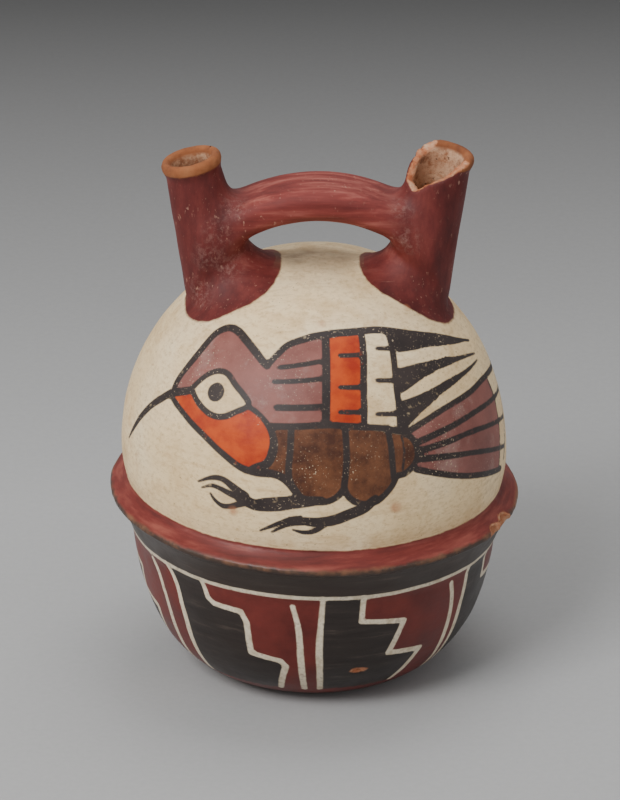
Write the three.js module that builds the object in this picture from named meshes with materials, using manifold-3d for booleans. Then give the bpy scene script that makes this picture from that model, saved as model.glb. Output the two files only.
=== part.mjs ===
// A double spout and bridge vessel of slip-painted earthenware: a round bowl with a projecting ledge, a closed
// dome on it, and two leaning spouts joined by an arched bridge. It is one hollow piece of fired clay, divided
// here by flat cuts into simple forms.
// Millimetres, +Z up. The origin is the middle of the underside, the painted front faces -Y and the broken
// spout stands on the +X side. Directions round the vessel and round a spout are degrees from +X towards +Y.

import * as THREE from "three";
import { mergeVertices } from "three/addons/utils/BufferGeometryUtils.js";
import Module from "manifold-3d";

const wasm = await Module();
wasm.setup();

// Bowl
const BASE_RADIUS = 24; // the flat that it stands on
const BOWL_RADIUS = 54.9; // wall just under the ledge
const BOWL_HEIGHT = 51.7; // height of the superellipse that the wall follows
const BOWL_ROUNDNESS = 2.2; // its exponent
const BOWL_SHARE = 0.89; // part of the quarter turn after which the wall flares into the ledge
const WALL = 4.5; // clay of the bowl and the dome

// Ledge
const LEDGE_RADIUS = 61.5; // its outer edge
const LEDGE_HEIGHT = 54.8; // its outer edge above the ground
const LEDGE_EDGE_RADIUS = 1.3; // rounding of the edge
const LEDGE_HOLLOW = 0.8; // how far the upper face sags below a straight cone
const COVE_BEND = 48; // height where the hollow band under the ledge turns outwards
const COVE_OUT = 1.6; // and how far outside the bowl's wall
const LEDGE_DIP = 1.8; // degrees by which the ledge hangs lower on the +X side

// Dome
const SEAM_RADIUS = 56.2; // where the dome rises out of the ledge
const SEAM_HEIGHT = 59.6;
const DOME_RADIUS = 57.6; // widest point
const DOME_BELLY = 68.4; // height of the widest point
const DOME_TOP = 128.2;
const DOME_FULLNESS_OUT = 2.29; // exponents of its superellipse
const DOME_FULLNESS_UP = 2.02;

// Spouts: the side, where the axis leaves the dome, the lean outwards in degrees, the outside radii of the tube
// at the dome and at the lip, the bore's radius at the dome, the height of the lip's middle, and where the foot
// ends towards the bridge
const WHOLE = {
  side: -1, spread: 27.9, lean: 12.4, rootRadius: 10.7, lipRadius: 9, boreRoot: 8, lipHeight: 161.4, inner: 11.5,
};
const BROKEN = {
  side: 1, spread: 30.6, lean: 9.5, rootRadius: 9.8, lipRadius: 9.7, boreRoot: 7.2, lipHeight: 163.3, inner: 14.5,
};
const SPOUT_WALL = 3.1; // at the lips
const LIP_ROLL = 0.8; // how far the lip stands out from the tube
const LIP_LENGTH = 3.6;
const FOOT_HEIGHT = 13; // where the tube starts to spread into its foot
const FOOT_OUTSIDE = 1.2; // how far the foot spreads on the outer side
const FOOT_ACROSS = 5.5; // and to the front and the back
const FOOT_SINK = 0.15; // the foot's thin edge runs this far into the dome

// Bridge
const BRIDGE_TOP = 148.7; // middle of the strap at its highest point
const BRIDGE_FOOT = 136.6; // middle of the strap at the spouts' axes
const BRIDGE_WIDTH = 21;
const BRIDGE_END_WIDTH = 17; // at the spouts' axes, where it is inside the tubes
const BRIDGE_THICKNESS = 10;
const BRIDGE_SQUARENESS = 2.8; // exponent of its section
const BRIDGE_FILLET_UNDER = 2.4; // how far it thickens where it grows out of the spouts
const BRIDGE_FILLET_OVER = 2;
const BRIDGE_FILLET_LENGTH = 8;

// Damage: the depth of clay lost below the lip all round the broken spout, as [direction, depth]
const BREAK = [
  [-20, 0], [94, 0], [104, 0.8], [117, 2.4], [128, 3.4], [140, 4], [152, 5.1], [163, 6.4], [174, 8.8],
  [186, 10.3], [210, 11.2], [224, 11.5], [233, 10.4], [247, 8.5], [259, 7.3], [272, 6.1], [286, 4.8],
  [297, 4], [310, 2.5], [325, 1.8], [335, 0], [340, 0],
];
const BREAK_RISE = 0.8; // the broken face rises this much from the bore to the outside
const BREAK_MARGIN = 0.8; // how far the cut reaches past the wall on both sides
// Flakes off the ledge's edge, as [direction, radius]
const FLAKES = [
  [-21, 2.9],
  [-28, 2.4],
];

// Flat cuts through the one piece of clay, with a hairline gap at each
const CUT_GAP = 0.3;
const CUT_UNDER_LEDGE = 9.8; // below the ledge's outer edge
const CUT_OVER_SEAM = 3; // above the seam between ledge and dome, or above the ledge's edge if that is higher
const CUT_OVER_DOME = 1; // above the dome's top
const CUT_INTO_SPOUT = 5; // from the side of a spout's foot towards its axis

// Facets
const BODY_SEGMENTS = 48;
const CAVITY_SEGMENTS = 30;
const SPOUT_SEGMENTS = 24;
const BORE_SEGMENTS = 24;
const BREAK_SEGMENTS = 36;
const BOWL_STEPS = 9;
const DOME_STEPS = 13;
const CAVITY_STEPS = 9;
const FOOT_STEPS = 6;
const BRIDGE_STEPS = 18;
const BRIDGE_SECTION_POINTS = 20;

const { degToRad, lerp, smoothstep } = THREE.MathUtils;
const steps = (count, make) => Array.from({ length: count }, (_, i) => make(i));

// A closed geometry as a solid that can be joined and cut.
function toSolid(geometry) {
  const bare = geometry.clone();
  bare.deleteAttribute("normal");
  bare.deleteAttribute("uv");
  const merged = mergeVertices(bare, 1e-3);
  const corners = merged.index.array;
  const outwards = [];
  const inwards = [];
  for (let i = 0; i < corners.length; i += 3) {
    const [a, b, c] = corners.slice(i, i + 3);
    if (a === b || b === c || c === a) continue;
    outwards.push(a, b, c);
    inwards.push(a, c, b);
  }
  const build = (triangles) => new wasm.Manifold(
    new wasm.Mesh({
      numProp: 3,
      vertProperties: new Float32Array(merged.attributes.position.array),
      triVerts: new Uint32Array(triangles),
    }),
  );
  const solid = build(outwards);
  return solid.volume() > 0 ? solid : build(inwards);
}

function toGeometry(solid) {
  const mesh = solid.getMesh();
  const positions = new Float32Array(mesh.numVert * 3);
  for (let i = 0; i < mesh.numVert; i++)
    positions.set(mesh.vertProperties.subarray(i * mesh.numProp, i * mesh.numProp + 3), i * 3);
  const geometry = new THREE.BufferGeometry();
  geometry.setAttribute("position", new THREE.BufferAttribute(positions, 3));
  geometry.setIndex(new THREE.BufferAttribute(mesh.triVerts, 1));
  geometry.computeVertexNormals();
  return geometry;
}

// The closed surface through a row of rings that all have the same number of points, flat at both ends.
function throughRings(rings) {
  const count = rings[0].length;
  const middle = (ring) => ring.reduce((sum, point) => sum.add(point), new THREE.Vector3()).divideScalar(count);
  const points = [...rings.flat(), middle(rings[0]), middle(rings.at(-1))];
  const triangles = [];
  for (let i = 0; i < count; i++) {
    const next = (i + 1) % count;
    for (let row = 0; row + 1 < rings.length; row++) {
      const [a, b] = [row * count + i, row * count + next];
      triangles.push(a, b, a + count, b, b + count, a + count);
    }
    const last = (rings.length - 1) * count;
    triangles.push(points.length - 2, next, i, points.length - 1, last + i, last + next);
  }
  return new THREE.BufferGeometry().setFromPoints(points).setIndex(triangles);
}

// The ledge and what is next to it hang a little lower on one side; the ground and the dome's top don't move.
function dip(point) {
  const below = smoothstep(point.z, 0, LEDGE_HEIGHT);
  const above = 1 - smoothstep(point.z, LEDGE_HEIGHT, (LEDGE_HEIGHT + 2 * DOME_TOP) / 3);
  point.z -= Math.tan(degToRad(LEDGE_DIP)) * point.x * Math.min(below, above);
  return point;
}

// Turns a profile of (radius, height) points about the vessel's axis and lets the ledge dip.
function turned(profile, segments) {
  const geometry = new THREE.LatheGeometry(profile, segments).rotateX(Math.PI / 2);
  const position = geometry.attributes.position;
  const point = new THREE.Vector3();
  for (let i = 0; i < position.count; i++)
    position.setXYZ(i, ...dip(point.fromBufferAttribute(position, i)));
  return toSolid(geometry);
}

function bowlWall(baseRadius, radius, bottom, share, count) {
  return steps(count + 1, (i) => {
    const turn = (i / count) * share * (Math.PI / 2);
    return new THREE.Vector2(
      baseRadius + (radius - baseRadius) * Math.sin(turn) ** (2 / BOWL_ROUNDNESS),
      bottom + (BOWL_HEIGHT - bottom) * (1 - Math.cos(turn) ** (2 / BOWL_ROUNDNESS)),
    );
  });
}

function domeWall(radius, top, count) {
  return steps(count + 1, (i) => {
    const turn = (i / count) * (Math.PI / 2);
    return new THREE.Vector2(
      i === count ? 0 : radius * Math.cos(turn) ** (2 / DOME_FULLNESS_OUT),
      DOME_BELLY + (top - DOME_BELLY) * Math.sin(turn) ** (2 / DOME_FULLNESS_UP),
    );
  });
}

// Height of the dome's outside at a distance from the axis.
function domeHeight(distance) {
  const share = 1 - Math.min(1, distance / DOME_RADIUS) ** DOME_FULLNESS_OUT;
  return DOME_BELLY + (DOME_TOP - DOME_BELLY) * share ** (1 / DOME_FULLNESS_UP);
}

function bodySolid() {
  const wall = bowlWall(BASE_RADIUS, BOWL_RADIUS, 0, BOWL_SHARE, BOWL_STEPS);
  const edge = new THREE.Vector2(LEDGE_RADIUS - LEDGE_EDGE_RADIUS, LEDGE_HEIGHT);
  const cove = new THREE.QuadraticBezierCurve(
    wall.at(-1),
    new THREE.Vector2(BOWL_RADIUS + COVE_OUT, COVE_BEND),
    new THREE.Vector2(edge.x, edge.y - LEDGE_EDGE_RADIUS),
  );
  const rounding = new THREE.EllipseCurve(
    edge.x, edge.y, LEDGE_EDGE_RADIUS, LEDGE_EDGE_RADIUS, -Math.PI / 4, Math.PI / 3,
  );
  const seam = new THREE.Vector2(SEAM_RADIUS, SEAM_HEIGHT);
  const upper = new THREE.QuadraticBezierCurve(
    rounding.getPoint(1),
    rounding.getPoint(1).lerp(seam, 0.5).sub(new THREE.Vector2(0, LEDGE_HOLLOW)),
    seam,
  );
  const tuck = new THREE.QuadraticBezierCurve(
    seam,
    new THREE.Vector2(DOME_RADIUS, (SEAM_HEIGHT + DOME_BELLY) / 2),
    new THREE.Vector2(DOME_RADIUS, DOME_BELLY),
  );
  return turned([
    new THREE.Vector2(0, 0),
    ...wall,
    ...cove.getPoints(4).slice(1),
    ...rounding.getPoints(3),
    ...upper.getPoints(3).slice(1),
    ...tuck.getPoints(3).slice(1),
    ...domeWall(DOME_RADIUS, DOME_TOP, DOME_STEPS).slice(1),
  ], BODY_SEGMENTS);
}

// The inside runs WALL behind the bowl and the dome, and passes straight behind the ledge.
function cavitySolid() {
  return turned([
    new THREE.Vector2(0, WALL),
    ...bowlWall(BASE_RADIUS - WALL / 2, BOWL_RADIUS - WALL, WALL, BOWL_SHARE, CAVITY_STEPS),
    ...domeWall(DOME_RADIUS - WALL, DOME_TOP - WALL, CAVITY_STEPS),
  ], CAVITY_SEGMENTS);
}

function spoutLength(spout) {
  return (spout.lipHeight - domeHeight(spout.spread)) / Math.cos(degToRad(spout.lean));
}

// The point at a direction, a distance from the axis and a height above the foot of a spout.
function spoutPoint(spout, turn, radius, height) {
  const lean = degToRad(spout.lean) * spout.side;
  const along = new THREE.Vector3(Math.sin(lean), 0, Math.cos(lean));
  const across = new THREE.Vector3(Math.cos(lean), 0, -Math.sin(lean));
  return new THREE.Vector3(spout.side * spout.spread, 0, domeHeight(spout.spread))
    .addScaledVector(along, height)
    .addScaledVector(across, radius * Math.cos(turn))
    .addScaledVector(new THREE.Vector3(0, 1, 0), radius * Math.sin(turn));
}

function tubePoint(spout, turn, height) {
  const radius = lerp(spout.rootRadius, spout.lipRadius - LIP_ROLL, height / spoutLength(spout));
  return spoutPoint(spout, turn, radius, height);
}

// Where the plain tube would run into the dome.
function tubeOnDome(spout, turn) {
  let [low, high] = [-2 * FOOT_HEIGHT, FOOT_HEIGHT];
  for (let i = 0; i < 20; i++) {
    const middle = (low + high) / 2;
    const point = tubePoint(spout, turn, middle);
    if (point.z > domeHeight(Math.hypot(point.x, point.y))) high = middle;
    else low = middle;
  }
  return tubePoint(spout, turn, high);
}

// Where the foot of a spout ends on the dome.
function footPoint(spout, turn) {
  const outer = Math.abs(tubeOnDome(spout, spout.side > 0 ? 0 : Math.PI).x) + FOOT_OUTSIDE;
  const x = (spout.side * (outer + spout.inner)) / 2 + ((outer - spout.inner) / 2) * Math.cos(turn);
  const y = (spout.rootRadius + FOOT_ACROSS) * Math.sin(turn);
  return new THREE.Vector3(x, y, domeHeight(Math.hypot(x, y)) - FOOT_SINK);
}

function spoutSolid(spout) {
  const length = spoutLength(spout);
  const turns = steps(SPOUT_SEGMENTS, (i) => (i / SPOUT_SEGMENTS) * 2 * Math.PI);
  const ring = (make) => turns.map(make);
  const lip = [
    [LIP_ROLL, LIP_LENGTH],
    [0, 0.7 * LIP_LENGTH],
    [0, 0.35 * LIP_LENGTH],
    [0.2 * SPOUT_WALL, 0.1 * LIP_LENGTH],
    [0.5 * SPOUT_WALL, 0],
  ];
  return toSolid(throughRings([
    ring((turn) => footPoint(spout, turn).sub(new THREE.Vector3(0, 0, WALL / 2))),
    ...steps(FOOT_STEPS + 1, (i) => ring((turn) => {
      const side = new THREE.QuadraticBezierCurve3(
        footPoint(spout, turn), tubeOnDome(spout, turn), tubePoint(spout, turn, FOOT_HEIGHT),
      );
      return side.getPoint(i / FOOT_STEPS);
    })),
    ...lip.map(([inset, below]) => ring((turn) => spoutPoint(spout, turn, spout.lipRadius - inset, length - below))),
  ]));
}

// The bore runs straight from above the lip into the hollow body and widens on the way down.
function boreSolid(spout) {
  const length = spoutLength(spout);
  const lipBore = spout.lipRadius - SPOUT_WALL;
  const turns = steps(BORE_SEGMENTS, (i) => (i / BORE_SEGMENTS) * 2 * Math.PI);
  const ends = [-3 * WALL, length + WALL];
  return toSolid(throughRings(ends.map((height) => {
    const radius = lerp(spout.boreRoot, lipBore, height / length);
    return turns.map((turn) => spoutPoint(spout, turn, radius, height));
  })));
}

function bridgeSolid() {
  const end = (spout) => {
    const height = (BRIDGE_FOOT - domeHeight(spout.spread)) / Math.cos(degToRad(spout.lean));
    return spoutPoint(spout, 0, 0, height).x;
  };
  const [left, right] = [end(WHOLE), end(BROKEN)];
  const section = steps(BRIDGE_SECTION_POINTS, (i) => {
    const turn = (i / BRIDGE_SECTION_POINTS) * 2 * Math.PI;
    const squared = (value) => Math.sign(value) * Math.abs(value) ** (2 / BRIDGE_SQUARENESS);
    return [squared(Math.cos(turn)) / 2, squared(Math.sin(turn)) / 2];
  });
  const path = new THREE.QuadraticBezierCurve3(
    new THREE.Vector3(left, 0, BRIDGE_FOOT),
    new THREE.Vector3((left + right) / 2, 0, 2 * BRIDGE_TOP - BRIDGE_FOOT),
    new THREE.Vector3(right, 0, BRIDGE_FOOT),
  );
  return toSolid(throughRings(steps(BRIDGE_STEPS + 1, (i) => {
    const place = path.getPoint(i / BRIDGE_STEPS);
    const heading = path.getTangent(i / BRIDGE_STEPS);
    const up = new THREE.Vector3(-heading.z, 0, heading.x);
    const fromAxis = Math.min(place.x - left, right - place.x);
    const free = fromAxis - BROKEN.rootRadius;
    const fillet = Math.min(1, Math.max(0, 1 - free / BRIDGE_FILLET_LENGTH)) ** 2;
    const width = lerp(BRIDGE_END_WIDTH, BRIDGE_WIDTH, smoothstep(fromAxis, 0, WHOLE.rootRadius));
    return section.map(([over, aside]) => {
      const extra = fillet * (over < 0 ? BRIDGE_FILLET_UNDER : BRIDGE_FILLET_OVER);
      return place.clone()
        .addScaledVector(up, over * (BRIDGE_THICKNESS + 2 * extra))
        .setY(aside * width);
    });
  })));
}

// Everything above the rough face that the broken spout ends in.
function breakSolid() {
  const length = spoutLength(BROKEN);
  const lost = (direction) => {
    const next = BREAK.findIndex(([at]) => at > direction);
    const [[from, before], [to, after]] = [BREAK[next - 1], BREAK[next]];
    return lerp(before, after, (direction - from) / (to - from));
  };
  const ring = (radius, heightAt) => steps(BREAK_SEGMENTS, (i) => {
    const direction = (i / BREAK_SEGMENTS) * 360 - 20;
    return spoutPoint(BROKEN, degToRad(direction), radius, heightAt(direction));
  });
  const face = (rise) => (direction) => {
    const depth = lost(direction);
    return depth > 0 ? length - depth + rise : length + WALL / 2;
  };
  return toSolid(throughRings([
    ring(BROKEN.lipRadius - SPOUT_WALL - BREAK_MARGIN, face(-BREAK_RISE / 2)),
    ring(BROKEN.lipRadius + BREAK_MARGIN, face(BREAK_RISE / 2)),
    ring(BROKEN.lipRadius + BREAK_MARGIN, () => length + WALL),
  ]));
}

function flakeSolid([direction, radius]) {
  const turn = degToRad(direction);
  const out = LEDGE_RADIUS + 0.15 * radius;
  const place = dip(new THREE.Vector3(out * Math.cos(turn), out * Math.sin(turn), LEDGE_HEIGHT));
  const bite = new THREE.IcosahedronGeometry(radius, 1).scale(0.6, 1.1, 0.8).rotateZ(turn);
  return toSolid(bite.translate(place.x, place.y, place.z));
}

function vesselSolid() {
  const outside = [spoutSolid(WHOLE), spoutSolid(BROKEN), bridgeSolid()]
    .reduce((joined, solid) => joined.add(solid), bodySolid());
  return [cavitySolid(), boreSolid(WHOLE), boreSolid(BROKEN), breakSolid(), ...FLAKES.map(flakeSolid)]
    .reduce((left, cut) => left.subtract(cut), outside);
}

// The part of a solid between two planes across an axis, half a gap short of both.
function between(solid, axis, low, high) {
  const normal = [0, 0, 0];
  normal[axis] = 1;
  const back = normal.map((value) => -value);
  return solid.trimByPlane(normal, low + CUT_GAP / 2).trimByPlane(back, CUT_GAP / 2 - high);
}

function dividedSolids() {
  const whole = vesselSolid();
  const reach = 2 * (LEDGE_RADIUS + DOME_TOP);
  const underLedge = LEDGE_HEIGHT - CUT_UNDER_LEDGE;
  const ledgeTop = LEDGE_HEIGHT + LEDGE_EDGE_RADIUS + LEDGE_RADIUS * Math.tan(degToRad(LEDGE_DIP));
  const overSeam = Math.max(SEAM_HEIGHT, ledgeTop) + CUT_OVER_SEAM;
  const overDome = DOME_TOP + CUT_OVER_DOME;
  const left = -(WHOLE.spread - WHOLE.rootRadius + CUT_INTO_SPOUT);
  const right = BROKEN.spread - BROKEN.rootRadius + CUT_INTO_SPOUT;
  const top = between(whole, 2, overDome, reach);
  return {
    bowl: between(whole, 2, -reach, underLedge),
    ledge: between(whole, 2, underLedge, overSeam),
    dome: between(whole, 2, overSeam, overDome),
    whole_spout: between(top, 0, -reach, left),
    bridge: between(top, 0, left, right),
    broken_spout: between(top, 0, right, reach),
  };
}

const clay = new THREE.MeshStandardMaterial({ color: 0xd9c9a8, roughness: 0.6, metalness: 0 });

const part = new THREE.Group();
for (const [name, solid] of Object.entries(dividedSolids())) {
  const mesh = new THREE.Mesh(toGeometry(solid), clay);
  mesh.name = name;
  part.add(mesh);
}

export default part;
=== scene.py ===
"""Double spout and bridge vessel: one closed clay skin with slip-painted zones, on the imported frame.

Shapes are worked out in millimetres as distances to the clay's surface, meshed, and scaled to metres.
A distance is negative in clay and positive in air. Noise is given as its strength, size and seed.
Directions on the paint are degrees from the front (-Y), positive towards +X. Heights are above the ground.
"""
import math

import bmesh
import bpy
import numpy as np
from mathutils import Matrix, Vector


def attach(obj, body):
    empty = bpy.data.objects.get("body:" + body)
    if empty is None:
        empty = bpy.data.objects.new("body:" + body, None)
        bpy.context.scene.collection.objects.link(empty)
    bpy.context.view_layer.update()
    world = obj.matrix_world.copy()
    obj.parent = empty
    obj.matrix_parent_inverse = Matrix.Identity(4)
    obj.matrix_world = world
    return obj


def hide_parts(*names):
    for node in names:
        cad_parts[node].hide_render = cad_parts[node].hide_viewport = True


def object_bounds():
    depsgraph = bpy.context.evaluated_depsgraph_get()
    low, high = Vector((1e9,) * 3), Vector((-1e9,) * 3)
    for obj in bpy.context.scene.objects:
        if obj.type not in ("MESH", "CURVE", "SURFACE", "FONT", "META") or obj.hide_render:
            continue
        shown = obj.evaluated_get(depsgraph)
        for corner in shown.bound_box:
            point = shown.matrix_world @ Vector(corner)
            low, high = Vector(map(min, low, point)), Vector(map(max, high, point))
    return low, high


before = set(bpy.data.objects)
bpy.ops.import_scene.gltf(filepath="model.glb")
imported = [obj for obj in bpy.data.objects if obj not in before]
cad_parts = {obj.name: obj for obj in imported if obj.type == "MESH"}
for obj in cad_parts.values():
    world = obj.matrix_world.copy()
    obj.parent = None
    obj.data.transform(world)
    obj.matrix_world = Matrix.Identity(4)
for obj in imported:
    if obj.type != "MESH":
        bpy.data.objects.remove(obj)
cad_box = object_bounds()

# Body, as in the solid
BASE_RADIUS = 24.0
BOWL_RADIUS = 54.9
BOWL_HEIGHT = 51.7
BOWL_ROUNDNESS = 2.2
BOWL_SHARE = 0.89
WALL = 4.5
LEDGE_RADIUS = 61.3
LEDGE_HEIGHT = 54.8
LEDGE_EDGE_RADIUS = 1.3
LEDGE_HOLLOW = 0.8
LEDGE_DIP = 1.8
COVE_BEND = 48.0
COVE_OUT = 1.6
SEAM_RADIUS = 56.2
SEAM_HEIGHT = 59.6
DOME_RADIUS = 57.6
DOME_BELLY = 68.4
DOME_TOP = 128.2
DOME_OUT = 2.29
DOME_UP = 2.02

# Spouts: side, where the axis leaves the dome, lean in degrees, outside radius there and at the lip,
# bore radius at the dome, and height of the lip
WHOLE = {"side": -1, "spread": 27.9, "lean": 12.4, "root": 10.7, "lip": 9.0, "bore": 8.0, "top": 161.4}
BROKEN = {"side": 1, "spread": 30.6, "lean": 9.5, "root": 9.8, "lip": 9.7, "bore": 7.2, "top": 163.2}
SPOUT_WALL = 3.1
LIP_ROLL = 0.8
LIP_LENGTH = 3.6
FOOT_SOFT_OUTSIDE = 0.8
FOOT_SOFT_INSIDE = 15.0
TUBE_DEPTH = 22
BORE_DEPTH = 14
BORE_SOFT = 2
SPOUTS_LOWEST = 90

# Bridge
BRIDGE_TOP = 148.7
BRIDGE_FOOT = 136.6
BRIDGE_HALF_WIDTH = 10.5
BRIDGE_END_HALF_WIDTH = 8.5
BRIDGE_HALF_THICKNESS = 5.0
BRIDGE_CORNER = 4.2
BRIDGE_SOFT = 7.0

# Roughness of the hand-built outside, the bores and the broken places
UNEVEN = [(0.22, 17, 1), (0.1, 6, 2)]
BORE_UNEVEN = [(0.15, 4, 3)]
BREAK_ROUGH = [(0.4, 2.6, 4), (0.3, 1.3, 5)]
FLAKE_ROUGH = [(0.35, 1.6, 6)]
CHIP_ROUGH = [(0.2, 1.2, 7)]

# Depth of clay lost below the lip round the broken spout: direction in degrees from +X, depth.
# The lip is whole where the depth is negative.
BREAK = [
    (-20, -5), (90, -5), (95, 0.2), (104, 0.9), (117, 2.5), (128, 3.4), (140, 4), (152, 5.1), (163, 6.4),
    (174, 8.8), (186, 10.3), (210, 11.1), (224, 11.5), (233, 10.3), (247, 8.3), (259, 7.1), (272, 5.9),
    (286, 4.6), (297, 3.8), (310, 2.3), (325, 1.6), (332, 0.4), (338, -5),
]
BREAK_START = -20
BREAK_TILT = 0.25
BREAK_SIDE = 20
SPOUT_ROOM = 16

# Flakes off the ledge's edge: direction from +X, size. Their shape is outwards, sideways and upwards.
FLAKES = [(-21, 2.9), (-28, 2.4)]
FLAKE_SHAPE = (1.15, 1.25, 0.9)
FLAKE_DROP = 0.6
# Small chip on the bowl: (direction, height), size and shape along X, Y and Z
CHIP = (15.8, 15.6)
CHIP_SIZE = 0.95
CHIP_SHAPE = (1.5, 1.0, 0.6)

# Mesh: size of a cell, lowest corner and number of cells' corners, and a depth that counts as far off
CELL = 1.02
GRID_LOW = (-64.37, -64.41, -2.63)
GRID_COUNTS = (130, 130, 169)
FAR = 9.0
# Below this height and this near to the body's inside, only this share of the faces is kept
HIDDEN_TOP = 112
HIDDEN_SKIN = 0.8
HIDDEN_SHARE = 0.06
# Faces are halved this near to a thin stroke
THIN_REACH = 1.7
# Points along the walls' outlines and along their short bends
BOWL_POINTS = 40
DOME_POINTS = 60
BEND_POINTS = 8


def radians(degrees):
    return np.deg2rad(degrees)


def soft_min(a, b, reach):
    overlap = np.maximum(reach - np.abs(a - b), 0)
    return np.minimum(a, b) - overlap * overlap / (4 * reach)


def soft_max(a, b, reach):
    return -soft_min(-a, -b, reach)


def noise(points, size, seed):
    """Smooth random values from -1 to 1 that change over a distance of `size`."""
    count = 32
    values = np.random.default_rng(seed).uniform(-1, 1, (count, count, count))
    scaled = points / size
    cell = np.floor(scaled).astype(int)
    share = scaled - cell
    share = share * share * (3 - 2 * share)
    total = np.zeros(len(points))
    for corner in np.ndindex(2, 2, 2):
        weight = np.prod(np.where(corner, share, 1 - share), axis=1)
        total += weight * values[tuple(((cell + corner) % count).T)]
    return total


def rough(points, noises):
    return sum(strength * noise(points, size, seed) for strength, size, seed in noises)


# Outlines of revolved forms

def bezier(start, middle, end, count):
    share = np.linspace(0, 1, count + 1)[:, None]
    return (1 - share) ** 2 * start + 2 * share * (1 - share) * middle + share ** 2 * end


def bowl_wall(base, radius, bottom):
    turn = np.linspace(0, BOWL_SHARE * math.pi / 2, BOWL_POINTS)
    across = base + (radius - base) * np.sin(turn) ** (2 / BOWL_ROUNDNESS)
    up = bottom + (BOWL_HEIGHT - bottom) * (1 - np.cos(turn) ** (2 / BOWL_ROUNDNESS))
    return np.stack([across, up], 1)


def dome_wall(radius, top):
    turn = np.linspace(0, math.pi / 2, DOME_POINTS)
    across = radius * np.abs(np.cos(turn)) ** (2 / DOME_OUT)
    up = DOME_BELLY + (top - DOME_BELLY) * np.sin(turn) ** (2 / DOME_UP)
    return np.stack([across, up], 1)


def dome_height(distance):
    share = 1 - np.clip(distance / DOME_RADIUS, 0, 1) ** DOME_OUT
    return DOME_BELLY + (DOME_TOP - DOME_BELLY) * share ** (1 / DOME_UP)


def outside_profile():
    wall = bowl_wall(BASE_RADIUS, BOWL_RADIUS, 0)
    edge = np.array([LEDGE_RADIUS - LEDGE_EDGE_RADIUS, LEDGE_HEIGHT])
    under = edge - [0, LEDGE_EDGE_RADIUS]
    cove = bezier(wall[-1], np.array([BOWL_RADIUS + COVE_OUT, COVE_BEND]), under, BEND_POINTS)
    turn = np.linspace(-math.pi / 3, math.pi / 3, BEND_POINTS)
    rounding = edge + LEDGE_EDGE_RADIUS * np.stack([np.cos(turn), np.sin(turn)], 1)
    seam = np.array([SEAM_RADIUS, SEAM_HEIGHT])
    middle = (rounding[-1] + seam) / 2 - [0, LEDGE_HOLLOW]
    upper = bezier(rounding[-1], middle, seam, BEND_POINTS)
    belly = np.array([DOME_RADIUS, DOME_BELLY])
    tuck = bezier(seam, np.array([DOME_RADIUS, (SEAM_HEIGHT + DOME_BELLY) / 2]), belly, BEND_POINTS)
    return np.concatenate([
        [[0, 0]], wall, cove[1:], rounding, upper[1:], tuck[1:], dome_wall(DOME_RADIUS, DOME_TOP)[1:],
    ])


def inside_profile():
    return np.concatenate([
        [[0, WALL]],
        bowl_wall(BASE_RADIUS - WALL / 2, BOWL_RADIUS - WALL, WALL),
        dome_wall(DOME_RADIUS - WALL, DOME_TOP - WALL),
    ])


def spout_length(spout):
    return (spout["top"] - dome_height(spout["spread"])) / math.cos(radians(spout["lean"]))


def tube_profile(spout):
    length = spout_length(spout)
    lip = spout["lip"]
    below = spout["root"] + (spout["root"] - lip) * 0.5
    return np.array([
        (0, -TUBE_DEPTH), (below, -TUBE_DEPTH), (spout["root"], 0),
        (lip - LIP_ROLL, length - LIP_LENGTH - 1.2),
        (lip - 0.55 * LIP_ROLL, length - LIP_LENGTH), (lip - 0.1, length - 0.75 * LIP_LENGTH),
        (lip, length - 0.5 * LIP_LENGTH), (lip - 0.15, length - 0.27 * LIP_LENGTH),
        (lip - 0.55, length - 0.12 * LIP_LENGTH), (lip - 1.1, length - 0.03 * LIP_LENGTH),
        (lip - 0.5 * SPOUT_WALL, length), (0, length),
    ])


def bore_profile(spout):
    length = spout_length(spout)
    radius = spout["lip"] - SPOUT_WALL
    low = spout["bore"] + (spout["bore"] - radius) * BORE_DEPTH / length
    return np.array([
        (0, -BORE_DEPTH), (low, -BORE_DEPTH), (spout["bore"], 0), (radius, length - 2.5),
        (radius + 0.5, length - 0.8), (radius + 0.9, length + 0.4), (radius + 0.9, length + 9),
        (0, length + 9),
    ])


def to_outline(points, outline):
    """Signed distance of flat points to a closed outline, negative inside."""
    best = np.full(len(points), np.inf)
    odd = np.zeros(len(points), bool)
    for a, b in zip(outline, np.roll(outline, -1, 0)):
        along = b - a
        if not along.any():
            continue
        share = np.clip((points - a) @ along / (along @ along), 0, 1)
        gap = points - a - share[:, None] * along
        best = np.minimum(best, (gap * gap).sum(1))
        crosses = (a[1] > points[:, 1]) != (b[1] > points[:, 1])
        if a[1] != b[1]:
            meets = a[0] + (points[:, 1] - a[1]) / along[1] * along[0]
            odd ^= crosses & (points[:, 0] < meets)
    return np.where(odd, -1, 1) * np.sqrt(best)


def revolved(profile):
    step = 0.5
    margin = 12
    outline = np.concatenate([profile, (profile * [-1, 1])[::-1]])
    low = np.array([0.0, profile[:, 1].min() - margin])
    high = profile.max(0) + margin
    count = np.ceil((high - low) / step).astype(int) + 1
    across = low[0] + step * np.arange(count[0])
    up = low[1] + step * np.arange(count[1])
    grid = np.stack(np.meshgrid(across, up, indexing="ij"), -1).reshape(-1, 2)
    table = to_outline(grid, outline).reshape(count)

    def look_up(distance, height):
        place = np.stack([(distance - low[0]) / step, (height - low[1]) / step], 1)
        kept = np.clip(place, 0, count - 1.001)
        beyond = np.linalg.norm(place - kept, axis=1) * step
        cell = kept.astype(int)
        share = kept - cell
        (i, j), (s, t) = cell.T, share.T
        low_row = table[i, j] * (1 - t) + table[i, j + 1] * t
        high_row = table[i + 1, j] * (1 - t) + table[i + 1, j + 1] * t
        return low_row * (1 - s) + high_row * s + beyond

    return look_up


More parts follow.
